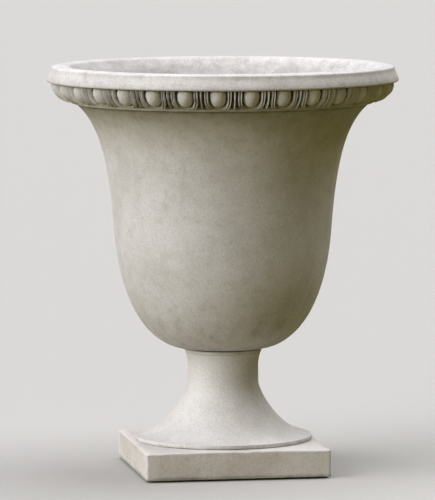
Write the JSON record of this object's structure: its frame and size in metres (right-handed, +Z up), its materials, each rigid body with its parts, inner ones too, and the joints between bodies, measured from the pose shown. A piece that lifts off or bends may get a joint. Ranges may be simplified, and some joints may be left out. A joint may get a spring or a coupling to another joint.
{
  "type": "garden urn",
  "caption": "Footed bell-shaped stone planter urn with a rolled lip, an egg-and-dart band and a lift-off bowl on a turned foot and square plinth.",
  "frame": {"origin": "on the ground, under the middle of the plinth, at the underside of the pads", "axes": "+Z up along the urn's turning axis, -Y out of the plinth's front face, +X to the right when looking at the front"},
  "size_m": [0.61, 0.61, 0.704],
  "materials": {
    "plinth_stone": "fine sandy cast limestone",
    "foot_stone": "fine sandy cast limestone",
    "bowl_stone": "fine sandy cast limestone, darker in the carved grooves",
    "mortar": "rough mortar",
    "tube_steel": "dull galvanised",
    "fixing_steel": "dull galvanised",
    "pad_rubber": "matt",
    "gasket_rubber": "matt",
    "sleeve_plastic": "matt grey",
    "screen_steel": "brushed"
  },
  "bodies": {
    "base": {"plinth": "plinth_stone", "foot_bed": "mortar", "foot": "foot_stone", "drain_tube": "tube_steel", "lower_washer": "fixing_steel", "lower_nut": "fixing_steel", "upper_washer": "fixing_steel", "upper_nut": "fixing_steel", "pad_front_left": "pad_rubber", "pad_front_right": "pad_rubber", "pad_back_left": "pad_rubber", "pad_back_right": "pad_rubber"},
    "seat": {"bowl_gasket": "gasket_rubber"},
    "bowl": {"bowl": "bowl_stone", "outlet_sleeve": "sleeve_plastic"},
    "screen": {"drain_screen": "screen_steel"}
  },
  "joints": [
    {"name": "bowl_turn", "type": "hinge", "parent": "base", "child": "seat", "pos_m": [0, 0, 0.211], "axis": [0, 0, 1], "continuous": true},
    {"name": "bowl_lift", "type": "slide", "parent": "seat", "child": "bowl", "axis": [0, 0, 1], "range_m": [0, 0.06]},
    {"name": "screen_lift", "type": "slide", "parent": "bowl", "child": "screen", "axis": [0, 0, 1], "range_m": [0, 0.48]}
  ]
}
